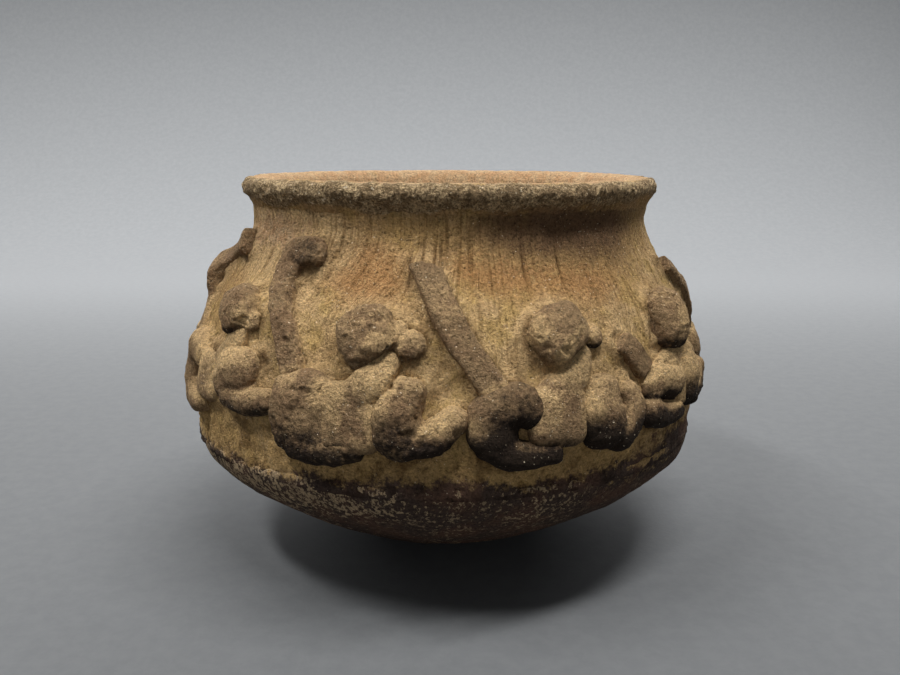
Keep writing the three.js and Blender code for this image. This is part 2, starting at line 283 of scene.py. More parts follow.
def mesh_points(mesh):
    """Points of a mesh in millimetres, and its point normals."""
    points, normals = np.empty((2, len(mesh.vertices) * 3), np.float32)
    mesh.vertices.foreach_get("co", points)
    mesh.vertex_normals.foreach_get("vector", normals)
    return points.reshape(-1, 3) / MM, normals.reshape(-1, 3).astype(float)


def add_field(mesh, name, values):
    """Named number, or vector of three numbers, on each point of a mesh."""
    values = np.asarray(values, np.float32)
    vector = values.ndim == 2
    field = mesh.attributes.new(name, "FLOAT_VECTOR" if vector else "FLOAT", "POINT")
    field.data.foreach_set("vector" if vector else "value", values.ravel())


def add_piece(mesh, node, material):
    """Object at the origin that stands for a node of the frame, rides on the bowl and has a finish."""
    piece = new_object(node + "_clay", mesh)
    mesh.materials.append(material)
    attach(piece, "root")
    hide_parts(node)
    return piece


print("a closed grid of 3 rings of 8 points has", len(grid_faces(3, 8, True)), "quads")

# %% [markdown]
# ## Shader maths
# A finish is a tree of nodes. To write it as plain expressions, one small class wraps a socket: adding or
# multiplying two of them adds the Math node that does it. Every other node comes from one method.

# %% Shader maths
SPECULAR = 0.1


class Value:
    """A number or colour in a material's node tree. Arithmetic on it adds Math nodes."""

    def __init__(self, finish, socket):
        self.finish, self.socket = finish, socket

    def maths(self, operation, first, second):
        return self.finish.node("ShaderNodeMath", {"operation": operation}, {0: first, 1: second})

    def __add__(self, other):
        return self.maths("ADD", self, other)

    def __sub__(self, other):
        return self.maths("SUBTRACT", self, other)

    def __rsub__(self, other):
        return self.maths("SUBTRACT", other, self)

    def __mul__(self, other):
        return self.maths("MULTIPLY", self, other)

    __radd__ = __add__
    __rmul__ = __mul__

    def ramp(self, low, high):
        """Smooth step from 0 at low to 1 at high."""
        sockets = {"Value": self, "From Min": low, "From Max": high}
        return self.finish.node("ShaderNodeMapRange", {"interpolation_type": "SMOOTHSTEP"}, sockets)


class Finish:
    """A material whose nodes are added by name. Textures are sized in millimetres on the piece itself."""

    def __init__(self, name):
        self.material = bpy.data.materials.new(name)
        self.material.use_nodes = True
        self.tree = self.material.node_tree
        self.surface = self.tree.nodes["Principled BSDF"]
        self.place = self.node("ShaderNodeTexCoord", out="Object")

    def node(self, kind, settings=None, sockets=None, out=0):
        """Add a node: its settings first, then the value or link of each named socket. Gives one output."""
        made = self.tree.nodes.new(kind)
        for key, setting in (settings or {}).items():
            setattr(made, key, setting)
        for key, value in (sockets or {}).items():
            if isinstance(value, Value):
                self.tree.links.new(value.socket, made.inputs[key])
            else:
                made.inputs[key].default_value = value
        return Value(self, made.outputs[out])

    def field(self, name, out="Fac"):
        """Named number on the mesh's points."""
        return self.node("ShaderNodeAttribute", {"attribute_name": name}, out=out)

    def layer(self, name, broken, low, high):
        """Share of a layer: its field broken up by noise, from none of it at low to all of it at high."""
        return (self.field(name) + broken).ramp(low, high)

    def noise(self, size, detail=3.0, roughness=0.55, vector=None):
        """Cloudy noise from 0 to 1, with features of about the given size in millimetres."""
        sockets = {"Vector": vector or self.place, "Scale": 1 / (size * MM), "Detail": detail,
                   "Roughness": roughness}
        return self.node("ShaderNodeTexNoise", {}, sockets)

    def grains(self, size, level):
        """Mask of separate grains of about the given size: the tops of a fine noise, cut off at a level."""
        return self.noise(size, 1.5, 0.6).ramp(level, level + 0.07)

    def mix(self, share, first, second, blend="MIX"):
        """Colour between two, or the second laid over the first by another blend."""
        first, second = [c if isinstance(c, Value) else (*c, 1) for c in (first, second)]
        settings = {"data_type": "RGBA", "blend_type": blend}
        return self.node("ShaderNodeMix", settings, {0: share, 6: first, 7: second}, out=2)

    def done(self, color, roughness, height):
        """Link colour, roughness and a relief in millimetres to the surface."""
        bump = self.node("ShaderNodeBump", {}, {"Height": height, "Distance": MM, "Strength": 1.0})
        for key, value in {"Base Color": color, "Roughness": roughness, "Normal": bump}.items():
            self.tree.links.new(value.socket, self.surface.inputs[key])
        self.surface.inputs["Specular IOR Level"].default_value = SPECULAR
        print("finish:", self.material.name, "with", len(self.tree.nodes), "nodes")
        return self.material


# %% [markdown]
# ## Clay of the pot
# Base, wall and lip are one clay with different histories, so one finish serves them all and fields on the
# meshes say what happened where, and where light and shade are painted. The clay is buff. The wall was
# scraped up and down while leather-hard, so it has fine lines that follow the lanes its mesh carries, with
# painted shade in their grooves. Firing left orange blushes, earth stained it ochre, the fire charred the
# base and left flecks of lime, and the lip is crusted outside and worn pale on top. Stain and painted shade
# darken the wall under the lip, painted shade darkens the crevices at the feet of the animals, and painted
# light brightens the left of the neck. All of it is full of sand, as the animals are: paler on the high
# points of the fine relief and darker in its low ones, which is partly grain and partly painted light and
# shade, with painted shade in the pits and painted highlights where mica glints.

# %% Clay of the pot
BUFF, PALE_BUFF, YELLOW_BUFF = (0.39, 0.25, 0.112), (0.555, 0.378, 0.188), (0.43, 0.284, 0.1)
OCHRE, BLUSH, STAIN_AND_SHADE = (0.46, 0.292, 0.118), (0.36, 0.19, 0.076), (0.102, 0.058, 0.034)
CHAR, CHAR_RED, LIME = (0.073, 0.049, 0.038), (0.112, 0.063, 0.043), (0.52, 0.38, 0.225)
CRUST, CRUST_LIGHT = (0.22, 0.15, 0.08), (0.5, 0.365, 0.205)
WORN, WORN_ORANGE, GLINT_HIGHLIGHT = (0.5, 0.342, 0.193), (0.44, 0.264, 0.136), (0.969, 0.809, 0.574)
SCRAPE_SHADE, CREVICE_SHADE, PIT_SHADE = (0.46, 0.4, 0.33), (0.25, 0.2, 0.16), (0.32, 0.27, 0.23)


def sandy_noises(clay, patch_size, patch_roughness):
    """Fine noise, grit, and two noises about 0: patches, and speckle, which is patches with finer ones."""
    fine, grit = clay.noise(0.5, 3, 0.8), clay.noise(0.38, 3, 0.8)
    patchy = clay.noise(patch_size, 4, patch_roughness) - 0.5
    return fine, grit, patchy, patchy + (clay.noise(0.8, 3, 0.7) - 0.5) * 1.2


def sanded_and_shaded(clay, color, fine, grit, pit_shade):
    """Colour made lighter and darker by the two finest noises, which also make the relief: partly sand grain,
    partly painted light and shade of that relief. Painted shade lies in the pits of the first.
    """
    sand_light_and_shade = 1.06 + (fine - 0.5) * 1.9 + (grit - 0.5) * 2.0
    # Painted shade in the pits of the fine noise, which are low places of the relief too.
    pits = 1 - fine.ramp(0.28, 0.42)
    return clay.mix(pits * 0.7, clay.mix(1.0, color, sand_light_and_shade, "MULTIPLY"), pit_shade, "MULTIPLY")


def pot_clay(name):
    """Buff clay under layers of blush, ochre, dust and painted light, scraping with painted shade in its
    grooves, char, lime, stain and painted shade, crust, wear and painted light, and painted shade in
    crevices, each laid on by a field of the mesh, most broken up by noise, and then sand with painted light
    and shade over everything, and painted highlights."""
    clay = Finish(name)
    fine, grit, patchy, speckle = sandy_noises(clay, 2.4, 0.65)
    lane = clay.field("lane", out="Vector")
    lines = clay.noise(0.75, 2, 0.6, lane) * 0.5 + clay.noise(0.4, 2, 0.6, lane) * 0.5
    color = clay.mix(clay.noise(10, 4).ramp(0.36, 0.62), BUFF, PALE_BUFF)
    color = clay.mix(clay.noise(5, 4).ramp(0.44, 0.6) * 0.75, color, YELLOW_BUFF)
    color = clay.mix(clay.layer("blush", speckle * 0.9, 0.05, 1.2), color, BLUSH)
    color = clay.mix(clay.layer("ochre", speckle * 1.8, 0.1, 0.95) * 0.9, color, OCHRE)
    # Dust, and painted light on the left of the neck.
    color = clay.mix(clay.layer("dust_and_light", speckle * 0.9, 0.2, 0.9) * 0.8, color, PALE_BUFF)
    # Painted shade in the grooves of the scraping.
    scrape_groove_shade = (1 - lines.ramp(0.36, 0.52)) * clay.field("scrape")
    color = clay.mix(scrape_groove_shade * 0.7, color, SCRAPE_SHADE, "MULTIPLY")
    char = clay.layer("char", speckle * 1.2, 0.25, 0.75)
    color = clay.mix(char, color, clay.mix(clay.noise(8, 3).ramp(0.42, 0.62), CHAR, CHAR_RED))
    tall = clay.node("ShaderNodeMapping", {}, {"Vector": clay.place, "Scale": (1, 1, 0.6)})
    flecks = (clay.noise(0.75, 3, 0.7, tall) + patchy * 0.35 + clay.field("lime") * 0.12).ramp(0.585, 0.67)
    color = clay.mix(flecks * clay.field("lime").ramp(0.03, 0.5) * 0.85, color, LIME)
    # Stain, and painted shade under the lip.
    color = clay.mix(clay.layer("stain_and_shade", patchy * 0.6, 0.1, 1.0) * 0.92, color, STAIN_AND_SHADE)
    crust = clay.layer("crust", speckle * 0.9, 0.2, 0.8)
    color = clay.mix(crust, color, clay.mix((grit + patchy * 0.8).ramp(0.42, 0.68), CRUST, CRUST_LIGHT))
    # Wear, and painted light on the left of the neck.
    worn_and_lit = clay.layer("worn_and_lit", speckle * 0.8, 0.3, 0.7)
    color = clay.mix(worn_and_lit, color, clay.mix(clay.noise(2, 4, 0.7).ramp(0.38, 0.64), WORN, WORN_ORANGE))
    # Painted shade: darker where the wall meets the animals and in the gouges, and dark specks on the low
    # wall.
    color = clay.mix(clay.field("crevice_shade") * 0.9, color, CREVICE_SHADE, "MULTIPLY")
    # Sand, with painted light and shade of the fine relief.
    color = sanded_and_shaded(clay, color, fine, grit, PIT_SHADE)
    # Painted highlights: near-white specks where mica glints, and more of them on the crust.
    glint_highlights = clay.grains(0.36, 0.7)
    color = clay.mix(glint_highlights * (0.75 - char * 0.35), color, GLINT_HIGHLIGHT)
    color = clay.mix(clay.grains(0.6, 0.66) * crust * 0.55, color, GLINT_HIGHLIGHT)
    height = lines * clay.field("scrape") * 0.9 + fine * 0.65 + grit * (0.42 + crust * 0.4)
    return clay.done(color, 0.95 - glint_highlights * 0.45, height)


wall_finish, base_finish, lip_finish = pot_clay("wall_clay"), pot_clay("base_clay"), pot_clay("rim_clay")

# %% [markdown]
# ## Clay of the animals
# The animals are of the same clay but fired greyer. Tan dust stays in their creases and along their feet, and
# dust colour paints light on what faces up. Soot blackens their low parts, soot colour paints shade on what
# faces down, and the sand stands out of the worn surface.

# %% Clay of the animals
GREY_BROWN, RED_BROWN = (0.28, 0.184, 0.096), (0.228, 0.142, 0.076)
DUST_AND_TOP_LIGHT, SOOT_AND_SHADE = (0.56, 0.38, 0.187), (0.015, 0.0105, 0.0088)
APPLIED_PIT_SHADE = (0.32, 0.28, 0.25)


def applied_clay(name):
    """Grey-brown clay: cloudy between two browns, then dust and painted light, soot and painted shade by
    fields broken up by noise, then sand with painted light and shade, and painted highlights.
    """
    clay = Finish(name)
    fine, grit, _, speckle = sandy_noises(clay, 1.9, 0.68)
    color = clay.mix(clay.noise(4.2, 4).ramp(0.38, 0.62), GREY_BROWN, RED_BROWN)
    # Dust, and painted light on what faces up.
    color = clay.mix(clay.layer("dust_and_light", speckle, 0.1, 0.9) * 0.92, color, DUST_AND_TOP_LIGHT)
    # Soot, and painted shade on what faces down.
    soot = clay.layer("soot", speckle * 0.8, 0.15, 0.8)
    color = clay.mix(soot * 0.94, color, SOOT_AND_SHADE)
    # Sand, with painted light and shade of the fine relief.
    color = sanded_and_shaded(clay, color, fine, grit, APPLIED_PIT_SHADE)
    # Painted highlights: near-white specks where mica glints.
    glint_highlights = clay.grains(0.36, 0.69)
    color = clay.mix(glint_highlights * 0.75, color, GLINT_HIGHLIGHT)
    return clay.done(color, 0.92 - glint_highlights * 0.4 - soot * 0.1, fine * 0.8 + grit * 0.5)


animal_finish = applied_clay("applied_clay")

# %% [markdown]
# ## The animals' lumps
# Each animal is made of rolled strips and pressed pats. A strip is a domed section carried along a spine that
# lies on the wall, and a pat is a blunt dome. Their places are the same as in the solids: x counts along the
# wall from the animal's azimuth, which is close to its head, and s climbs from the girth.

# %% Strips and pats
SINK, TUCK = 0.9, 0.15
CUT_SHARE = 0.92
SPINE_STEPS = 400
STRIP_RINGS, STRIP_AROUND, END_RINGS = 56, 36, 8
PAT_RINGS, PAT_AROUND = 40, 48


def spine_points(points, count):
    """Smooth curve through the given points: a Catmull-Rom spline, spaced evenly in its parameter."""
    points = np.array(points, float)
    padded = np.concatenate([2 * points[:1] - points[1:2], points, 2 * points[-1:] - points[-2:-1]])
    t = np.linspace(0, len(points) - 1, count)
    index = np.minimum(t.astype(int), len(points) - 2)
    u = (t - index)[:, None]
    a, b, c, d = (padded[index + k] for k in range(4))
    return 0.5 * (2 * b + (c - a) * u + (2 * a - 5 * b + 4 * c - d) * u**2 + (3 * b - a - 3 * c + d) * u**3)


def pushed(x, s, cuts):
    """Points across the wall after flat cuts. A cut has a direction in degrees and a distance from the
    middle: points past it are pushed back to just beyond it."""
    for degrees, distance in cuts:
        nx, ns = np.cos(np.radians(degrees)), np.sin(np.radians(degrees))
        over = np.maximum(x * nx + s * ns - distance, 0) * CUT_SHARE
        x, s = x - nx * over, s - ns * over
    return x, s


def signed_powers(angle, power):
    """Cosine and sine of an angle, their sizes raised to a power and their signs kept: a superellipse."""
    return [np.sign(values) * np.abs(values)**power for values in (np.cos(angle), np.sin(angle))]


def strip(spine, widths, reliefs, square=0.8, cap=0.85, cuts=()):
    """Rolled strip: a superellipse section along the spine. It is widest at a share of its height, the tuck,
    and sinks below the wall. Each end is closed by rings that shrink as the square root of 1 - t squared."""
    share = np.concatenate([np.zeros(END_RINGS), np.linspace(0, 1, STRIP_RINGS), np.ones(END_RINGS)])
    end = np.sin(np.linspace(0, 1, END_RINGS + 1) * np.pi / 2)[1:]
    reach = np.concatenate([-end[::-1], np.zeros(STRIP_RINGS), end])
    shrink = np.sqrt(np.clip(1 - reach**2, 0.0004, 1))
    fine, curve = np.linspace(0, 1, SPINE_STEPS), spine_points(spine, SPINE_STEPS)
    sizes = spine_points(np.column_stack([widths, reliefs]), SPINE_STEPS)
    columns = np.column_stack([curve, np.gradient(curve, axis=0), sizes]).T
    found = np.stack([np.interp(share, fine, column) for column in columns], -1)
    middle, way, half, relief = found[:, :2], found[:, 2:4], found[:, 4] / 2, found[:, 5]
    way = way / np.linalg.norm(way, axis=1, keepdims=True)
    middle = middle + way * (reach * half * cap)[:, None]
    cosine, sine = signed_powers(np.linspace(0, 2 * np.pi, STRIP_AROUND, endpoint=False), square)
    across = np.outer(half * shrink, cosine)
    belt = relief * TUCK
    rise = np.where(sine > 0, np.outer(relief - belt, sine), np.outer(belt + SINK, sine))
    lift = belt[:, None] + rise * np.maximum(shrink, 0.25)[:, None]
    x, s = pushed(middle[:, :1] - way[:, 1:] * across, middle[:, 1:] + way[:, :1] * across, cuts)
    return np.stack([x, s, lift], -1)


def pat(centre, width, length, relief, turn=0.0, square=0.78, cuts=()):
    """Pressed pat: a superellipsoid over an oval, sunk below the wall, with the flats that a finger left."""
    ring, climb = signed_powers(np.linspace(-np.pi / 2, np.pi / 2, PAT_RINGS + 2)[1:-1], square)
    cosine, sine = signed_powers(np.linspace(0, 2 * np.pi, PAT_AROUND, endpoint=False), square)
    across, up = np.outer(ring, cosine) * width / 2, np.outer(ring, sine) * length / 2
    x, s = across * np.cos(turn) - up * np.sin(turn), across * np.sin(turn) + up * np.cos(turn)
    x, s = pushed(x, s, cuts)
    belt = relief * TUCK
    rise = np.where(climb > 0, (relief - belt) * climb, (belt + SINK) * climb)
    lift = np.broadcast_to((belt + rise)[:, None], x.shape)
    return np.stack([x + centre[0], s + centre[1], lift], -1)


print("strip and pat grids:", strip([(0, 0), (4, 2)], [3, 3], [2, 2]).shape, pat((0, 0), 5, 5, 3).shape)

# %% [markdown]
# ## How the animals stand
# The plan of one animal, and what differs between the nine: how the tail and the foreleg are bent, how high
# it stands and how stout it is. Those that face the photographer also have their own places for some lumps,
# clay filled in between, flats, worn places, how much of its soot and painted shade a piece keeps, and how
# smoky or dusty it is. A spot has a place, a size, and what it adds to the dust and painted light and to the
# soot and painted shade.

# %% Plan of the animals
TAILS = {
    "hooked": [(-10.9, 15.4), (-13.2, 21), (-15, 25.2), (-15.3, 29.2), (-13.8, 32.2), (-10.8, 32.8)],
    "straight": [(-8.6, 13.2), (-12.3, 19.5), (-15.1, 25.3), (-16.5, 31.6)],
    "slanted": [(-9.6, 14.4), (-14.8, 20), (-19.4, 25), (-22.4, 28)],
    "wide": [(-11.2, 14), (-13.6, 19.4), (-13.4, 24.2), (-10.4, 28.2), (-6, 30.8), (-2, 31.2)],
    "short": [(-9.2, 13.3), (-11.4, 15.9), (-13.1, 17.8)],
}
FORELEGS = {
    "reaching": ([(6.2, 13.9), (5.2, 11), (5.3, 8)], [(6.4, 6.9), (9.6, 7.8), (12.6, 10.1)]),
    "tucked": ([(6.8, 13), (6.2, 10.2), (6.6, 7.2)], [(8.8, 6.1), (11.1, 7.1), (11.9, 9.6), (11.2, 12)]),
    "curled": ([(6.4, 13.4), (3.4, 12.2), (1.4, 10)], [(3.4, 8), (7.4, 8), (11.2, 8.7)]),
}
TORSO, NAPE = (-2.2, 9.6), [(-1.4, 12.4), (1.8, 15), (2.4, 17.8)]
THIGH = [(-4.2, 11.6), (-7.4, 12.4), (-10, 10.8), (-10.6, 7.6)]
HIND_FOOT = [(-10.2, 6.8), (-8.2, 5), (-5.2, 4.3), (-2.6, 4.6)]
HEAD, MUZZLE = (0.2, 20.8), (5.9, 20)


def animal(azimuth, tail, foreleg, rise=0, squeeze=0, bulk=1, flat=1, wear=1, **own):
    """Design of one animal. What isn't given is as in the plan."""
    return dict(own, azimuth=azimuth, tail=tail, foreleg=foreleg, rise=rise, squeeze=squeeze, bulk=bulk,
                flat=flat, wear=wear)


FRIEZE = [
    animal(-95, "hooked", "reaching", rise=0.4, bulk=0.93, flat=0.84, tail_relief=2.6,
           sooty={"foreleg": 0.2, "hind_leg": 0.2}, dusty={"foreleg": 0.3, "hind_leg": 0.3}),
    animal(-50, "wide", "curled", rise=1.6, squeeze=-5, bulk=0.92, flat=0.86, head=(1, 20.6),
           muzzle=(4.8, 19.4), cuts=[], tail_width=5.2, tail_relief=[2.4, 2, 4.8, 2.6, 2.6, 3.6],
           sooty={"foreleg": 0.6, "hind_leg": 0.25}, dusty={"hind_leg": 0.3, "head": -0.2},
           spots={"head": [(-1.5, 20.6, 3, -0.4, 0.2), (5, 19.2, 2, 0.5, -0.3)]},
           filled=[("foreleg", (4, 13.8), 9.6, 7.4, 3.6, 0.85)]),
    animal(-15, "hooked", "reaching", wear=1.5, cuts=[(-50, 3.3)], muzzle_size=(4.6, 2.6), torso=(-0.6, 9.9),
           nape_relief=(3.2, 3.9, 2.9), thigh=[(-5.4, 12.7), (-8, 12.9), (-10.2, 11.4), (-10.4, 8.4)],
           foot=[(-9, 6.1), (-6.4, 5.2), (-3.2, 5.3), (-0.8, 6)],
           sooty={"hind_leg": 0.7, "head": 0.6, "foreleg": 0.52}, smoky={"foreleg": 0.06},
           dusty={"tail": -0.05, "hind_leg": -0.35, "body": -0.25},
           spots={"tail": [(-11.5, 32.4, 3.5, -0.6, 0.55)],
                  "body": [(2, 16.2, 3, 0.9, -0.3), (-3, 6.4, 3, -0.5, 0.4)],
                  "hind_leg": [(-5.6, 5.4, 3.6, -0.5, 0.12), (-4.6, 12, 3.4, 0.35, 0)],
                  "head": [(5.4, 19.4, 2, -0.35, 0)],
                  "foreleg": [(10.6, 9.4, 2.6, 0.6, -0.2), (4.8, 9.6, 2.8, -0.5, 0.25),
                              (9.8, 6, 2.4, -0.3, 0.5)]},
           filled=[("hind_leg", (-8.4, 9.7), 10.2, 11.4, 3.7, 0.55), ("head", (3.5, 21.4), 4.6, 4, 2.4, 0.85),
                   ("body", (-1.6, 10), 9.8, 9.8, 3.4, 0.45)]),
    animal(20.5, "straight", "tucked", wear=0.9, muzzle_size=(3.3, 2.2), torso=(-0.6, 10),
           thigh=[(-4.2, 11.2), (-7, 11.8), (-9.4, 10.6), (-9.9, 7.8)], tail_cuts=[(68, 23.1)],
           foot=[(-9.7, 6.8), (-7.6, 5.3), (-4.6, 4.7), (-1.4, 4.8)],
           sooty={"hind_leg": 1.1}, smoky={"hind_leg": 0.4, "body": 0.08},
           dusty={"hind_leg": -0.8, "head": -0.2, "body": -0.35},
           spots={"head": [(-3.4, 20.6, 2.6, 1.0, -0.4), (-0.5, 17.4, 2.2, 0.7, -0.6)],
                  "hind_leg": [(-12.6, 9.4, 2.2, 1.6, -0.7)],
                  "body": [(2, 16, 2.6, 0.9, -0.2), (-1, 6.6, 2.6, -0.3, 0.25)]},
           filled=[("hind_leg", (-8.2, 8.6), 4.6, 4.4, 2.9, 0.7)]),
    animal(49, "short", "reaching", rise=1, squeeze=3.4, bulk=0.84, head=(1.2, 20.6), torso=(1.6, 9.6),
           thigh=[(-8.6, 10.4), (-6.2, 11), (-3.2, 10.2)], foot=[(-9.3, 6.8), (-6, 6), (-2.2, 5.7)],
           sooty={"hind_leg": 1.1}, dusty={"tail": -0.4, "hind_leg": 0.15},
           filled=[("head", (1.6, 20.4), 7.8, 9.4, 4.6, 0.8)]),
    animal(101, "slanted", "tucked", rise=0.4, bulk=0.9, flat=0.8, wear=1.2, tail_relief=2.6),
    animal(142, "hooked", "reaching", rise=0.8, flat=0.95),
    animal(183, "straight", "curled", rise=0.4, bulk=0.95, flat=0.95, wear=1.3),
    animal(224, "hooked", "tucked", flat=0.95),
]
print("plan:", len(TAILS), "kinds of tail,", len(FORELEGS), "kinds of foreleg,", len(FRIEZE), "animals")

# %% [markdown]
# ## Lumps of each animal
# The plan's points become the spines and middles of the lumps. A little seeded unevenness in place, width and
# height keeps the animals from being copies.

# %% Lumps of each animal
FIRST_SEED = 40
HOOK_WIDTHS, HOOK_CAP = [3.6, 4.1, 4.3, 4.5, 5, 5], 0.85
TAIL_WIDTH, TAIL_CAP, TAIL_RELIEF = 4.4, 0.2, 2.5
THIGH_SIZES = [5.6, 6.7, 7, 6.8], [3.4, 4, 4, 3.9]
FOOT_SIZES = [6.4, 5, 4.2, 3.8], [3.7, 3.5, 3.4, 3.3]
ARM_SIZES = [5.6, 7.2, 6.8], [3.7, 4.3, 4.2]
HAND_SIZES = [5, 4.8, 4.6, 3.4], [3.9, 3.7, 3.4, 2.8]
NAPE_WIDTHS, NAPE_RELIEF = [5.4, 5.4, 5.2], (2.8, 2.9, 2.8)
HEAD_SIZE, HEAD_TURN, HEAD_CUTS = (8.4, 4.8), 0.5, [(-52, 3.2)]
MUZZLE_SIZE, TORSO_SIZE = (3.9, 2.8), (8.8, 3.2)


def animal_forms(design, seed):
    """Grids of every lump of an animal, by piece. The spines are the plan's points, shifted and unsettled."""
    chance = np.random.default_rng(seed)
    rise, squeeze, bulk, flat = (design[key] for key in ("rise", "squeeze", "bulk", "flat"))

    def moved(points, shift=0.0):
        points = np.array(points, float) + (shift, rise)
        return points + chance.uniform(-0.2, 0.2, points.shape)

    def limb(points, widths, reliefs, **shape):
        count = len(points)
        wide = np.array(widths[:count]) * bulk * chance.uniform(0.95, 1.05, count)
        high = np.array(reliefs[:count]) * bulk * flat * chance.uniform(0.97, 1.03, count)
        return strip(points, wide, high, **shape)

    def lump(centre, size, **shape):
        return pat(centre, size[0] * bulk, size[0] * bulk, size[1] * bulk * flat, **shape)

    arm, hand = FORELEGS[design["foreleg"]]
    tail = moved(TAILS[design["tail"]], squeeze)
    thigh, foot = moved(design.get("thigh", THIGH), squeeze), moved(design.get("foot", HIND_FOOT), squeeze)
    torso = np.add(design.get("torso", TORSO), (squeeze / 2, rise))
    head = np.add(design.get("head", HEAD), (0, rise))
    muzzle = head + np.subtract(MUZZLE, HEAD) * bulk
    if "muzzle" in design:
        muzzle = np.add(design["muzzle"], (0, rise))
    tail_widths, cap = [design.get("tail_width", TAIL_WIDTH)] * len(tail), TAIL_CAP
    if design["tail"] == "hooked":
        tail_widths, cap = HOOK_WIDTHS, HOOK_CAP
    tail_reliefs = np.broadcast_to(design.get("tail_relief", TAIL_RELIEF), len(tail))
    forms = {
        "hind_leg": [limb(thigh, *THIGH_SIZES), limb(foot, *FOOT_SIZES)],
        "foreleg": [limb(moved(arm), *ARM_SIZES), limb(moved(hand), *HAND_SIZES)],
        "head": [lump(head, HEAD_SIZE, turn=HEAD_TURN, cuts=design.get("cuts", HEAD_CUTS)),
                 lump(muzzle, design.get("muzzle_size", MUZZLE_SIZE), square=0.85)],
        "body": [lump(torso, TORSO_SIZE, square=0.5),
                 limb(moved(NAPE), NAPE_WIDTHS, design.get("nape_relief", NAPE_RELIEF), square=0.6)],
        "tail": [limb(tail, tail_widths, tail_reliefs, square=0.42, cap=cap,
                      cuts=design.get("tail_cuts", ()))],
    }
    for piece, centre, width, length, relief, square in design.get("filled", []):
        forms[piece].append(pat(centre, width, length, relief, square=square))
    return forms


frieze = [animal_forms(design, FIRST_SEED + place) for place, design in enumerate(FRIEZE)]
lump_count = sum(len(forms) for one in frieze for forms in one.values())
print("frieze:", len(frieze), "animals,", lump_count, "lumps")

# %% [markdown]
# ## Feet of the lumps
# Dust and shadow gather where a lump meets the wall or another lump. The way from a point to the nearest lump
# is read off the lumps' own grids: each ring becomes a disc on the wall, with its middle and its half width.

# %% Feet of the lumps
FAR = 99.0
RING_STEP = 3


def discs(grid):
    """Middle across, middle climb and half width of every third ring of a grid."""
    middle = grid.mean(1)
    half = np.hypot(grid[..., 0] - middle[:, None, 0], grid[..., 1] - middle[:, None, 1]).max(1)
    return np.column_stack([middle[:, :2], half])[::RING_STEP]


def gap_to(found, across, climb):
    """Way on the wall from points to the edge of the nearest disc. Below 0 a point is inside it."""
    nearest = np.full(across.shape, FAR)
    for x, s, half in found:
        nearest = np.minimum(nearest, np.hypot(across - x, climb - s) - half)
    return nearest


animal_discs = [{piece: np.concatenate([discs(grid) for grid in forms]) for piece, forms in one.items()}
                for one in frieze]
print("discs of one animal:", sum(len(found) for found in animal_discs[0].values()))

# %% [markdown]
# ## Modelling the animals
# The two strips of a bent leg are fused by a voxel remesh, so a leg is one skin with a crease at its fold, as
# when a strip of clay is doubled over. The other pieces are fused the same way. All are then roughened: broad
# dents from fingers, then grit. The fields for dust and painted light, and for soot and painted shade, come
# from how far a point stands off the wall, which way it faces and what is near.

# %% Model the animals
VOXEL = 0.17
PIECE_WEAR, PITTED_FROM = {"head": 1.4, "body": 0.7}, 1.2
PIECE_DUST, OTHER_DUST = {"body": 0.25, "foreleg": 0.1, "hind_leg": -0.2}, -0.15


def fused(name, grids, azimuth):
    """One closed skin round all the grids: each is laid on the wall, and a voxel remesh joins them."""
    points, quads, triangles, count = [], [], [], 0
    for grid in grids:
        here, fours, threes = skin(grid)
        points.append(on_wall(*here.T, azimuth))
        quads.append(fours + count)
        triangles.append(threes + count)
        count += len(here)
    rough_mesh = make_mesh(name, *(np.concatenate(parts) for parts in (points, quads, triangles)))
    shell = new_object(name, rough_mesh)
    fuse = shell.modifiers.new("fuse", "REMESH")
    fuse.mode, fuse.voxel_size, fuse.use_smooth_shade = "VOXEL", VOXEL * MM, True
    relax = shell.modifiers.new("relax", "SMOOTH")
    relax.factor, relax.iterations = 0.5, 2
    mesh = bpy.data.meshes.new_from_object(shell.evaluated_get(bpy.context.evaluated_depsgraph_get()))
    bpy.data.objects.remove(shell)
    bpy.data.meshes.remove(rough_mesh)
    mesh.name = name
    return mesh


def pressed(points, gritty):
    """Way that a lump's skin is pushed out: finger dents and grit, in two sizes each, and pits where worn."""
    dents = noises(points, (0.28, 3.6, 7)) + noises(points, (0.08, 1.7, 8)) * gritty
    grit = noises(points, (0.09, 0.85, 9), (0.06, 0.45, 10)) * gritty
    pits = 0.35 * smooth_step(0.35, 0.75, lattice_noise(points, 1.5, 11)) * (gritty > PITTED_FROM)
    return dents + grit - pits - 0.1


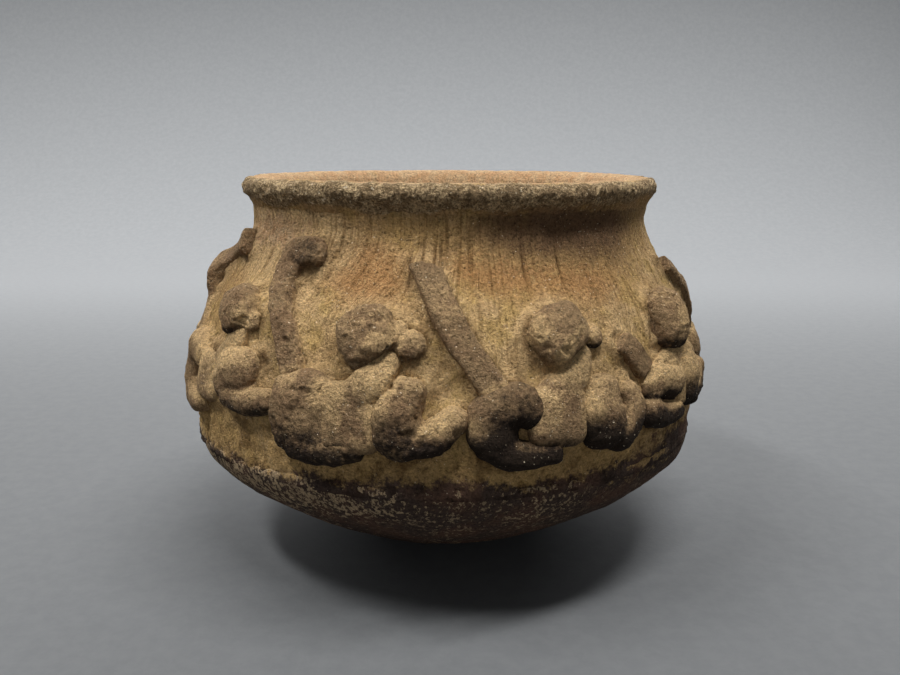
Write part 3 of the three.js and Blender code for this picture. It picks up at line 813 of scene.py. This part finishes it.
def dust_light_soot_and_shade(design, piece, place, normals, crease):
    """Dust lies at the foot of a lump and in creases, and dust colour paints light on what faces up. Soot
    lies on what is low, less on what faces up, and soot colour paints shade on what faces down. What the
    design says of the piece and of its spots is added."""
    across, climb, lift = place
    up, down = smooth_step(-0.05, 0.65, normals[:, 2]), smooth_step(-0.1, 0.5, -normals[:, 2])
    foot = 1 - smooth_step(0.3, 1.7, lift)
    # Dust at the foot and in creases, and painted light by the share that faces up.
    dust_and_light = 0.6 * foot + 0.6 * crease + 0.45 * up + PIECE_DUST.get(piece, OTHER_DUST)
    # Soot on what is low, less on what faces up, and painted shade on what faces down.
    low = (1 - smooth_step(4.5, 13.5, climb - design["rise"])) * (1 - 0.75 * up)
    soot = low * {"foreleg": 1.05 + 0.4 * down, "hind_leg": 0.9 + 0.5 * down}.get(piece, 0.3 * down)
    if piece == "head":
        dust_and_light += 0.45 * smooth_step(3.2, 4.6, across)
        # Painted shade under the head.
        soot += 0.7 * down
    if piece == "tail":
        dust_and_light -= 0.8 * smooth_step(27, 32, climb)
    soot = np.clip(soot, 0, 1) * design.get("sooty", {}).get(piece, 1)
    soot = np.clip(soot + design.get("smoky", {}).get(piece, 0), 0, 1)
    dust_and_light += design.get("dusty", {}).get(piece, 0)
    for x, s, size, pale, black in design.get("spots", {}).get(piece, ()):
        near = np.exp(-((across - x)**2 + (climb - s)**2) / size**2)
        dust_and_light, soot = dust_and_light + pale * near, np.clip(soot + black * near, 0, 1)
    return np.clip(dust_and_light, 0, 1) * (1 - 0.8 * soot), soot


def model_lump(number, piece):
    """Fuse a piece, push its points along their normals by finger dents and grit, and give it its fields."""
    design = FRIEZE[number]
    node = f"animal_{number + 1}_{piece}"
    mesh = fused(node + "_clay", frieze[number][piece], math.radians(design["azimuth"]))
    points, normals = mesh_points(mesh)
    across, climb, lift = off_wall(points, design["azimuth"])
    points += normals * pressed(points, design["wear"] * PIECE_WEAR.get(piece, 1.0))[:, None]
    mesh.vertices.foreach_set("co", (points * MM).astype(np.float32).ravel())
    mesh.update()
    others = np.concatenate([found for name, found in animal_discs[number].items() if name != piece])
    crease = np.exp(-np.clip(gap_to(others, across, climb), 0, None) / 0.7)
    dust_and_light, soot = dust_light_soot_and_shade(design, piece, (across, climb, lift), normals, crease)
    add_field(mesh, "dust_and_light", dust_and_light)
    add_field(mesh, "soot", soot)
    return add_piece(mesh, node, animal_finish)


animal_pieces = [model_lump(number, piece) for number, one in enumerate(frieze) for piece in one]
print("animals:", len(animal_pieces), "pieces,", sum(len(p.data.polygons) for p in animal_pieces), "faces")

# %% [markdown]
# ## Round the pot
# What happened to the wall, the base and the lip wavers round the pot without a seam, so noise is read on a
# circle. The potter's strokes run upright at the neck. On the left of the front they swing away as they come
# down, so the lanes shift there. Char, stains, blushes and patches of painted light and shade are soft oval
# spots.

# %% Round the pot
COLUMNS = 1000
azimuths = np.linspace(-np.pi, np.pi, COLUMNS, endpoint=False)
LANE_RADIUS, NOISE_RADIUS, PATCH_RADIUS = 40.0, 41, 42
NECK_CLIMB, BURN_HEIGHT = 36.2, 23.4
INSIDE = dict(ochre=0.3, blush=0.35, stain_and_shade=0.15, crevice_shade=0, dust_and_light=0.1, scrape=0.4, char=0, lime=0, crust=0,
              worn_and_lit=0)


def round_field(angles, size, seed, height=0.0):
    """Noise round the pot at a given height, seamless because it is read on a circle."""
    circle = NOISE_RADIUS * np.sin(angles), -NOISE_RADIUS * np.cos(angles)
    return rough(np.stack([*circle, np.broadcast_to(height, np.shape(angles))], -1), size, seed)


def lane_shift(angles, climbs):
    """Way that a scraping stroke has swung to the left, from the neck down: a bell curve of the azimuth times
    a curve that starts level at the neck and flattens out on the shoulder."""
    swing = 10 * bell(np.degrees(angles), -19, 17) + round_field(angles, 40, 61)
    return swing * (1 - bell(np.clip(NECK_CLIMB - climbs, 0, None), 0, 12))


def burnt_share(angles, heights):
    """How charred the pot is: a smooth step of the way below the edge of the char. Bell curves of the azimuth
    lift that edge in the middle of the front and on the right, and lower it on the far left."""
    swells = [(1.2, 62, 22), (0.6, 2, 18), (0.9, -31, 9), (1, 32, 7), (-1.3, -56, 9)]
    swell = sum(high * bell(np.degrees(angles), middle, width) for high, middle, width in swells)
    edge = BURN_HEIGHT + swell + 1.3 * round_field(angles, 11, 68) + 0.6 * round_field(angles, 3.5, 69)
    return smooth_step(-2.6, 1.8, edge - heights)


def patches(angles, heights, *spots):
    """Sum of soft oval spots on the pot: bell curves of the way from their middles. Each is given by its
    strength, azimuth in degrees, height, width and tallness."""
    total = 0.0
    for strength, azimuth, height, wide, tall in spots:
        turn = turn_from(angles, azimuth) * PATCH_RADIUS
        total = total + strength * np.exp(-(turn / wide)**2 - ((heights - height) / tall)**2)
    return total


def add_turned(mesh, node, finish, outer_rows, fields, lanes, ends=()):
    """Piece of the pot with its lanes and its fields, clipped to 0 and 1: those given on the outer rows,
    those of the inside on the other rows, and a few numbers on the points that close the ends."""
    for name, inside in INSIDE.items():
        values = np.full(lanes.shape[:2], float(inside))
        values[:outer_rows] = fields.get(name, 0)
        add_field(mesh, name, np.clip(np.append(values, ends), 0, 1))
    add_field(mesh, "lane", np.concatenate([lanes.reshape(-1, 3), np.zeros((len(ends), 3))]) * MM)
    add_piece(mesh, node, finish)
    print(node + ":", len(mesh.polygons), "faces, fields", ", ".join(fields))


print("char covers", round(100 * burnt_share(azimuths, GIRTH[1]).mean()), "% of the girth")

# %% [markdown]
# ## Wall
# The wall's grid has a thousand columns, so the scraping is real relief. Close to the animals the wall is
# smeared and gritty where wet clay was worked up against it. Below them it is crumbly, least on the right.

# %% Wall and the feet of the animals
OUTER_ROWS, INNER_ROWS = 86, 10
OUTER_FOOT, INNER_FOOT, ABOVE_SEAT = -1.6, -1.4, 0.2
NEAR_ANIMAL = 0.75

outer_climb = np.linspace(OUTER_FOOT, WALL_TOP + ABOVE_SEAT, OUTER_ROWS)
climbs, angles = np.meshgrid(outer_climb, azimuths, indexing="ij")
radius, height, out, up = wall_at(climbs)
flat_points = turned_points(radius, angles, height)
foot_gap = np.full(climbs.shape, FAR)
for design, found in zip(FRIEZE, animal_discs):
    turn = turn_from(angles, design["azimuth"])
    near = np.abs(turn) < NEAR_ANIMAL
    nearest = gap_to(np.concatenate(list(found.values())), turn[near] * radius[near], climbs[near])
    foot_gap[near] = np.minimum(foot_gap[near], nearest)
foot_gap = np.clip(foot_gap, 0, None)
smear = np.exp(-foot_gap / 2.4)
print("wall:", round(100 * (foot_gap == 0).mean()), "% of it under animals")

# %% Shape of the wall
GOUGES = [(-8.6, 53.4), (-6, 55.2), (-3.4, 55.6), (-1.9, 56), (-0.6, 56.6), (4.4, 55), (17, 54), (26, 53.6)]
GOUGE_SIZE = (0.26, 2.6)

lanes = turned_points(LANE_RADIUS, angles + lane_shift(angles, climbs) / LANE_RADIUS, climbs * 0.04)
scrape = smooth_step(12, 20, climbs) * np.clip(0.85 + 0.5 * round_field(angles, 16, 23, height), 0, 1)
gouged = patches(angles, height, *[(1, *place, *GOUGE_SIZE) for place in GOUGES])
calm = 1 - smooth_step(WALL_TOP - 4, WALL_TOP - 0.5, climbs)
half_calm = 0.3 + 0.7 * calm
crumbly = 0.22 * (1 - smooth_step(4, 10, climbs)) * (1 - 0.85 * np.clip(np.sin(angles), 0, 1))
relief = calm * noises(flat_points, (0.3, 17, 24), (0.13, 6, 25))
relief += scrape * noises(lanes, (0.1, 3.2, 30), (0.14, 1.5, 26), (0.1, 0.8, 27)) * half_calm
relief += (0.09 + 0.24 * smear + crumbly) * rough(flat_points, 1.3, 28) * half_calm
relief += 0.2 * smear * calm * rough(flat_points, 2.4, 34)
relief += patches(angles, height, (0.5, -31.5, 49.5, 4.5, 4)) * rough(flat_points, 1.8, 33)
relief += 0.75 * np.exp(-foot_gap / 0.8) - 0.3 * gouged - 0.22 * smooth_step(29, 37, climbs)
outer = turned_points(radius + out * relief, angles, height + up * relief)

inner_climb = np.linspace(WALL_TOP + ABOVE_SEAT, INNER_FOOT, INNER_ROWS)
inner_radius, inner_height, inner_out, inner_up = wall_at(inner_climb[:, None] + 0 * azimuths)
inner_angles = np.broadcast_to(azimuths, inner_radius.shape)
inner_lift = -WALL_THICKNESS + 0.3 * round_field(inner_angles, 12, 29, inner_height)
inner = turned_points(inner_radius + inner_out * inner_lift, inner_angles,
                      inner_height + inner_up * inner_lift)
wall_grid = np.concatenate([outer, inner])
wall_faces = grid_faces(len(wall_grid), COLUMNS, True)
wall_mesh = make_mesh("shoulder_wall_clay", wall_grid.reshape(-1, 3), wall_faces)
print("wall: relief from", relief.min().round(2), "to", relief.max().round(2), "mm")

# %% [markdown]
# ## What happened to the wall
# The fields place the layers of the clay's finish. Ochre earth clings below the animals and under the lip,
# the fire blushed the neck, and stains run down from the lip on the right. Stain and painted shade darken the
# band under the lip, painted shade darkens the feet of the animals and the gouges, and dust and worn colour
# paint light onto the left of the neck. Dust also lies near the animals.

# %% Fields of the wall
low_band = 1 - smooth_step(3, 9, climbs)
blotch = np.clip(round_field(angles, 5, 67, height), 0, 1) * low_band
crumbs = np.clip(1 - smooth_step(5, 11, climbs) + 0.5 * smear, 0, 1)
ochre = 0.6 * low_band + 0.45 * (1 - smooth_step(10, 19, climbs)) * smear
ochre += patches(angles, height, (0.75, -13, 58.6, 9, 2), (0.5, 9, 57, 9, 2.2), (0.9, 44, 57, 16, 4.5),
                 (0.7, 20, 56.6, 18, 4))
blush = 0.5 * np.clip(round_field(angles, 18, 62, height), 0, 1) * smooth_step(8, 20, climbs)
blush += patches(angles, height, (0.95, 8, 54, 8, 3.4), (0.85, -17, 52.5, 7, 5), (0.75, 30, 51.5, 14, 4.5))
# Stain, with painted shade in the band just under the lip.
stain_and_shade = 0.28 * smooth_step(WALL_TOP - 5, WALL_TOP, climbs) * (0.8 + 0.5 * round_field(angles, 10, 63))
stain_and_shade += patches(angles, height, (0.5, 34, 59.4, 18, 3.8), (0.12, 6, 60, 15, 4.2), (0.35, 54, 27, 15, 5),
                 (0.48, 46, 55.5, 13, 5), (0.5, 18, 56.5, 18, 4)) + 0.2 * blotch
# Painted shade at the feet of the animals and in the gouges, and dark specks on the crumbly low wall.
crevice_shade = 0.85 * bell(foot_gap, 0, 0.42) * np.clip(0.3 + 0.9 * round_field(angles, 5, 64, height), 0, 1)
crevice_shade += 0.8 * gouged + 0.6 * smooth_step(0.2, 0.6, rough(flat_points, 1.5, 35)) * crumbs
# Dust near the animals, and a patch of painted light on the left of the neck.
dust_and_light = 0.75 * smear * smooth_step(7, 14, climbs) + patches(angles, height, (1.4, -46, 57, 16, 5))
char = burnt_share(angles, height) + 0.06 * (1 - smooth_step(1, 8, climbs)) + 0.22 * blotch
char += patches(angles, height, (0.42, 54, 27, 11, 4))
# The worn field on the wall is a patch of painted light on the left of the neck, under the lip.
wall_fields = dict(ochre=ochre, blush=blush, stain_and_shade=stain_and_shade, crevice_shade=crevice_shade, dust_and_light=dust_and_light, scrape=scrape,
                   char=char, worn_and_lit=patches(angles, height, (0.7, -52, 57.5, 15, 4)))
wall_lanes = np.concatenate([lanes, turned_points(LANE_RADIUS * 0.08, inner_angles, inner_height)])
add_turned(wall_mesh, "shoulder_wall", wall_finish, OUTER_ROWS, wall_fields, wall_lanes)

# %% [markdown]
# ## Base
# The base is one turned skin from the middle of its flat spot, up the outside to the seam, over the edge and
# down the inside, where its clay is smeared up over the join. Its edge stands proud of the wall here and
# there, as a ledge.

# %% Shape of the base
UNDER_ROWS, SIDE_ROWS, INSIDE_ROWS = 8, 75, 13
POLE_RADIUS, SEAM = 0.4, GIRTH[1]
EDGE_IN, EDGE_UP = np.array([[0.2, 0.6, 1.4], [0.22, 0.36, 0.5]])[..., None]
BASE_INSIDE = [(41.2, 34.5), (40, 30.4), (38.6, 26), (36, 21.6), (32.2, 17.4), (27.1, 13.3), (16.3, 7.6),
               (8, 5.4), (POLE_RADIUS, 5)]

seam_shift = -0.3 + 0.5 * round_field(azimuths, 14, 21)
seam_ledge = 0.02 + 0.08 * round_field(azimuths, 9, 22)
under = np.stack([np.linspace(POLE_RADIUS, FOOT[0], UNDER_ROWS), np.zeros(UNDER_ROWS)], -1)
side_length = lengths_along(base_outline)
side_steps = np.linspace(0, side_length[-1], SIDE_ROWS + 1)[1:]
side = np.stack([np.interp(side_steps, side_length, base_outline[:, k]) for k in (0, 1)], -1)
profile = np.concatenate([under, side])
profile_run = np.gradient(profile, axis=0)
profile_run /= np.linalg.norm(profile_run, axis=1, keepdims=True)
base_radius, base_angles = np.meshgrid(profile[:, 0], azimuths, indexing="ij")
base_height = np.broadcast_to(profile[:, 1:], base_radius.shape)
base_points = turned_points(base_radius, base_angles, base_height)
own = 1 - 0.75 * smooth_step(17, SEAM, base_height)
base_relief = noises(base_points, (0.3, 17, 24)) + own * noises(base_points, (0.16, 5, 31))
base_relief = smooth_step(0.4, 5, base_height) * (base_relief + own * 0.08 * rough(base_points, 1.6, 32))
base_relief += smooth_step(18, SEAM, base_height) * seam_ledge
reach = base_radius + profile_run[:, 1:] * base_relief
rise = base_height - profile_run[:, :1] * base_relief + smooth_step(16, SEAM, base_height) * seam_shift
reach, rise = np.concatenate([reach, reach[-1] - EDGE_IN]), np.concatenate([rise, rise[-1] + EDGE_UP])
inside_profile = spine_points(BASE_INSIDE, INSIDE_ROWS)[..., None] + 0 * azimuths
all_reach = np.concatenate([reach, inside_profile[:, 0]])
all_rise = np.concatenate([rise, inside_profile[:, 1]])
base_mesh = make_mesh("base_bowl_clay", *skin(turned_points(all_reach, azimuths, all_rise)))
print("base: seam from", rise[-1].min().round(1), "to", rise[-1].max().round(1), "mm high")

# %% [markdown]
# ## What happened to the base
# The fire charred the base up to a wavering edge, a little less on the right. Lime came out in flecks, most
# of them on the left of the front, and earth clings along the seam.

# %% Fields of the base
POLE_FIELDS = (0.5, 0.3)

turned = np.broadcast_to(azimuths, reach.shape)
lime = 0.2 + 0.35 * np.clip(round_field(turned, 12, 65, rise), 0, 1)
lime += patches(turned, rise, (1.4, -48, 21.4, 14, 3), (1, -26, 20.8, 12, 3))
earth = 0.4 * np.clip(round_field(turned, 15, 66, rise), 0, 1) * smooth_step(16, 23, rise)
earth += 0.6 * smooth_step(20.3, SEAM, rise) + patches(turned, rise, (0.8, -56, 22.6, 14, 3.2))
burnt = 1.05 * burnt_share(turned, rise) - patches(turned, rise, (0.42, 44, 23, 13, 3))
base_fields = dict(ochre=earth, lime=lime, char=burnt, scrape=0.06)
row_length = lengths_along(np.column_stack([all_reach[:, 0], all_rise[:, 0]]))
base_lanes = turned_points(LANE_RADIUS * 0.1, azimuths, row_length[:, None] * 0.5)
add_turned(base_mesh, "base_bowl", base_finish, len(reach), base_fields, base_lanes, POLE_FIELDS)

# %% [markdown]
# ## Lip
# The lip flares out of the neck in one sweep, without an edge below it, and is rounded over at the top. Its
# section starts inside the wall so that the two skins cross where they are flush. The crust on its outer face
# is crumbly at the scale of coarse sand and ends below in a wavering line.

# %% Lip
LIP_ROWS, LIP_COLUMNS = 64, 1250
LIP_SECTION = [(34, 59.4), (34.5, 60.3), (34.95, 61.2), (35.4, 62.1), (35.8, 62.9), (36.15, 63.7),
               (36.2, 64.5), (35.85, 65.2), (35, 65.6), (33.8, 65.75), (32.6, 65.6), (31.5, 65.1),
               (30.7, 64.2), (30.3, 63), (30.1, 61.6), (30.4, 60.6)]

section = spine_points(LIP_SECTION, LIP_ROWS)
section_run = np.gradient(section, axis=0)
section_run /= np.linalg.norm(section_run, axis=1, keepdims=True)
share = np.linspace(0, 1, LIP_ROWS)[:, None]
lip_azimuths = np.linspace(-np.pi, np.pi, LIP_COLUMNS, endpoint=False)
lip_turn = np.broadcast_to(lip_azimuths, (LIP_ROWS, LIP_COLUMNS))
crown = -0.18 * np.sin(lip_turn) - 0.36 * np.cos(lip_turn) - 0.33 + 0.1 * round_field(lip_turn, 14, 74)
lip_radius = section[:, :1] + 0.12 * round_field(lip_turn, 11, 73) * smooth_step(0.1, 0.35, share)
lip_height = section[:, 1:] + crown * smooth_step(60.5, 65, section[:, 1:])
lip_points = turned_points(lip_radius, lip_turn, lip_height)
crust_edge = 61.3 + 0.7 * round_field(lip_turn, 9, 71)
crust_edge += patches(lip_turn, 0, (-0.5, -14, 0, 8, 1), (0.9, 45, 0, 16, 1))
outer_side = 1 - smooth_step(0.48, 0.62, share)
crust = smooth_step(-0.9, 1.1, lip_height - crust_edge) * outer_side
crumb = noises(lip_points, (0.22, 2.1, 75), (0.24, 1.05, 76), (0.15, 0.55, 77))
crumb *= (0.3 + 0.7 * crust) * smooth_step(0.0, 0.12, share)
lip_radius = lip_radius + section_run[:, 1:] * crumb
lip_height = np.minimum(lip_height - section_run[:, :1] * crumb, LIP_TOP - 0.02)
lip_grid = turned_points(lip_radius, lip_turn, lip_height)
lip_mesh = make_mesh("rim_coil_clay", lip_grid.reshape(-1, 3), grid_faces(LIP_ROWS, LIP_COLUMNS, True))
print("lip: top at", round(float(lip_height.max()), 2), "mm")

# %% Fields of the lip
# Stain on the outer face of the lip, partly painted shade under its flare.
lip_stain_and_shade = 0.28 * (0.8 + 0.5 * round_field(lip_turn, 10, 63))
lip_stain_and_shade += patches(lip_turn, lip_height, (0.5, 31, 60, 17, 3.4), (0.12, 6, 60, 15, 4.2))
lip_worn = smooth_step(0.5, 0.62, share) * (0.9 + 0.3 * round_field(lip_turn, 6, 78, lip_height))
lip_fields = dict(crust=crust, worn_and_lit=lip_worn, stain_and_shade=lip_stain_and_shade * outer_side, blush=0.4,
                  scrape=0.6 * outer_side * (1 - crust))
lip_lanes = turned_points(LANE_RADIUS, lip_turn, lip_height * 0.12)
add_turned(lip_mesh, "rim_coil", lip_finish, LIP_ROWS, lip_fields, lip_lanes)

# %% [markdown]
# ## Stage
# A grey sheet lies under the bowl and sweeps up behind it. Two lamps hang above and a little in front, the
# stronger one on the right, so the shoulder and the tops of the lumps are bright while the undersides and the
# base fall into the dark, and two shadows cross on the sheet. A faint light from the front opens the darkest
# folds, and another brightens the sheet behind.

# %% Sheet
PAPER_DARK, PAPER_LIGHT = (0.13, 0.134, 0.138), (0.143, 0.147, 0.15)


def sweep_sheet(width, front, back, bend, tall):
    """Sheet that runs level from front to back, turns up on a quarter circle and rises to its height."""
    bow = np.linspace(0, np.pi / 2, 24)
    depth = np.concatenate([[front], back + bend * np.sin(bow), [back + bend]])
    level = np.concatenate([[0], bend * (1 - np.cos(bow)), [tall]])
    x = np.array([-width / 2, width / 2])
    grid = np.stack(np.broadcast_arrays(x[:, None], depth, level), -1)
    index = np.arange(2 * len(depth)).reshape(2, -1)
    faces = np.stack([index[0, :-1], index[1, :-1], index[1, 1:], index[0, 1:]], -1)
    return grid.reshape(-1, 3), faces


sheet_points, sheet_faces = sweep_sheet(width=2600, front=-700, back=330, bend=260, tall=1200)
sheet = new_object("floor_sheet", make_mesh("floor_sheet", sheet_points, sheet_faces))
paper = Finish("grey_paper")
paper_color = paper.mix(paper.noise(3, 5, 0.7).ramp(0.3, 0.7), PAPER_DARK, PAPER_LIGHT)
paper_finish = paper.done(paper_color, paper.noise(3, 2) * 0.1 + 0.85, paper.noise(0.8, 2) * 0.05)
sheet.data.materials.append(paper_finish)
print("sheet:", len(sheet_faces), "faces")

# %% Lights
BOWL_MIDDLE = (0, 0, 30)
SKY_COLOR, SKY_STRENGTH = (0.95, 0.97, 1.0, 1), 0.115


def soft_light(name, place, aim, width, depth, power):
    """Rectangular area light at a place in millimetres, turned to face its aim."""
    lamp = bpy.data.lights.new(name, "AREA")
    lamp.shape, lamp.size, lamp.size_y, lamp.energy = "RECTANGLE", width * MM, depth * MM, power
    light = new_object(name, lamp)
    light.location = np.array(place, float) * MM
    light.visible_camera = False
    x, y, z = np.subtract(aim, place).astype(float)
    light.rotation_euler = (math.atan2(math.hypot(x, y), -z), 0, math.atan2(-x, y))


soft_light("right_lamp", (90, -140, 480), BOWL_MIDDLE, 330, 50, 2.3)
soft_light("left_lamp", (-250, -140, 480), BOWL_MIDDLE, 260, 50, 1.65)
soft_light("front_fill", (0, -430, 130), (0, 0, 25), 420, 160, 0.11)
soft_light("sheet_light", (-110, 310, 270), (-110, 370, 0), 1200, 100, 6.8)
world = bpy.data.worlds.new("studio")
bpy.context.scene.world = world
world.use_nodes = True
sky = world.node_tree.nodes["Background"].inputs
sky["Color"].default_value = SKY_COLOR
sky["Strength"].default_value = SKY_STRENGTH
bpy.context.scene.view_settings.view_transform = "Standard"
print("stage: sheet,", len(bpy.data.lights), "lights and a dim sky")
